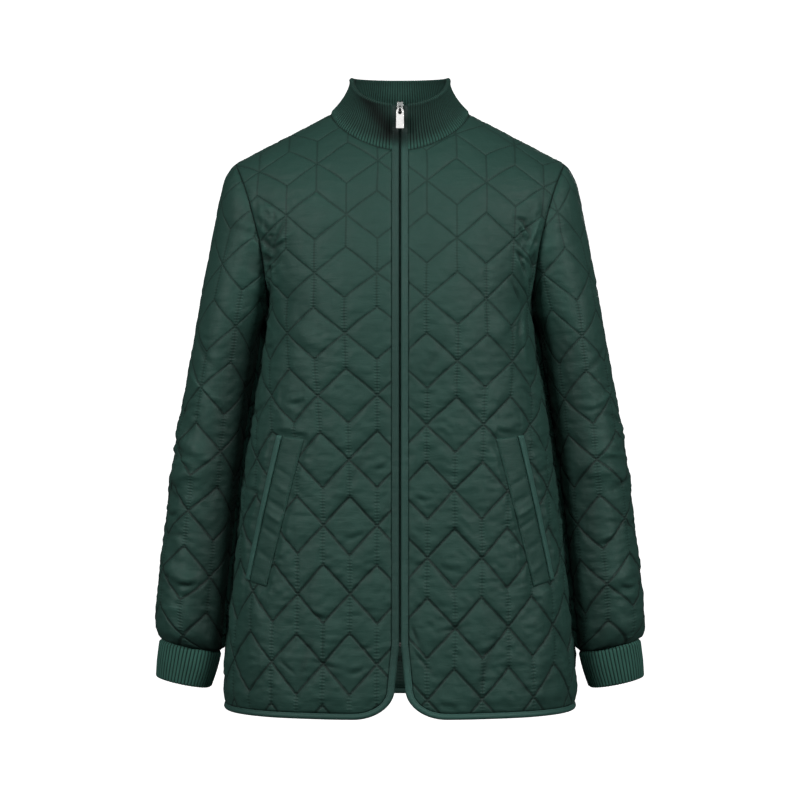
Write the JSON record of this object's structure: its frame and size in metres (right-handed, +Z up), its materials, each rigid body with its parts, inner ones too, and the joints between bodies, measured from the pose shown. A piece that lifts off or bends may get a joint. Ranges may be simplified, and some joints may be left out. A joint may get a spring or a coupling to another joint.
{
  "type": "quilted jacket",
  "caption": "Hip-length quilted jacket with a ribbed stand collar and ribbed cuffs, a full-length front zip, rounded front corners and slanted pockets.",
  "frame": {"origin": "middle of the neck opening, level with the two side neck points, where a hanger or the wearer's neck holds the jacket", "axes": "+Z up, -Y towards the front with the zip, +X towards the wearer's left sleeve"},
  "size_m": [0.5933, 0.2682, 0.7691],
  "materials": {
    "quilted_satin": "dark green satin-faced polyester, padded and stitched in rhombi",
    "bound_satin": "dark green satin binding, folded and edge-stitched",
    "rib_knit": "dark green rib knit, matt",
    "zip_tape": "dark green woven tape",
    "zip_coil": "dark green nylon coil",
    "nickel": "polished nickel plate"
  },
  "bodies": {
    "jacket": {"back": "quilted_satin", "binding_back": "bound_satin", "binding_left": "bound_satin", "binding_right": "bound_satin", "collar": "rib_knit", "cuff_left": "rib_knit", "cuff_right": "rib_knit", "front_left": "quilted_satin", "front_right": "quilted_satin", "pocket_binding_left": "bound_satin", "pocket_binding_right": "bound_satin", "pocket_welt_left": "quilted_satin", "pocket_welt_right": "quilted_satin", "sleeve_left": "quilted_satin", "sleeve_right": "quilted_satin", "zip_chain": "zip_coil", "zip_slider": "nickel", "zip_tape_left": "zip_tape", "zip_tape_right": "zip_tape"},
    "pull_tab": {"zip_pull": "nickel"}
  },
  "joints": [
    {"name": "pull_tab_swing", "type": "hinge", "parent": "jacket", "child": "pull_tab", "pos_m": [0, -0.07136, -0.00031], "axis": [-1, 0, 0], "range_deg": [0, 150]}
  ]
}
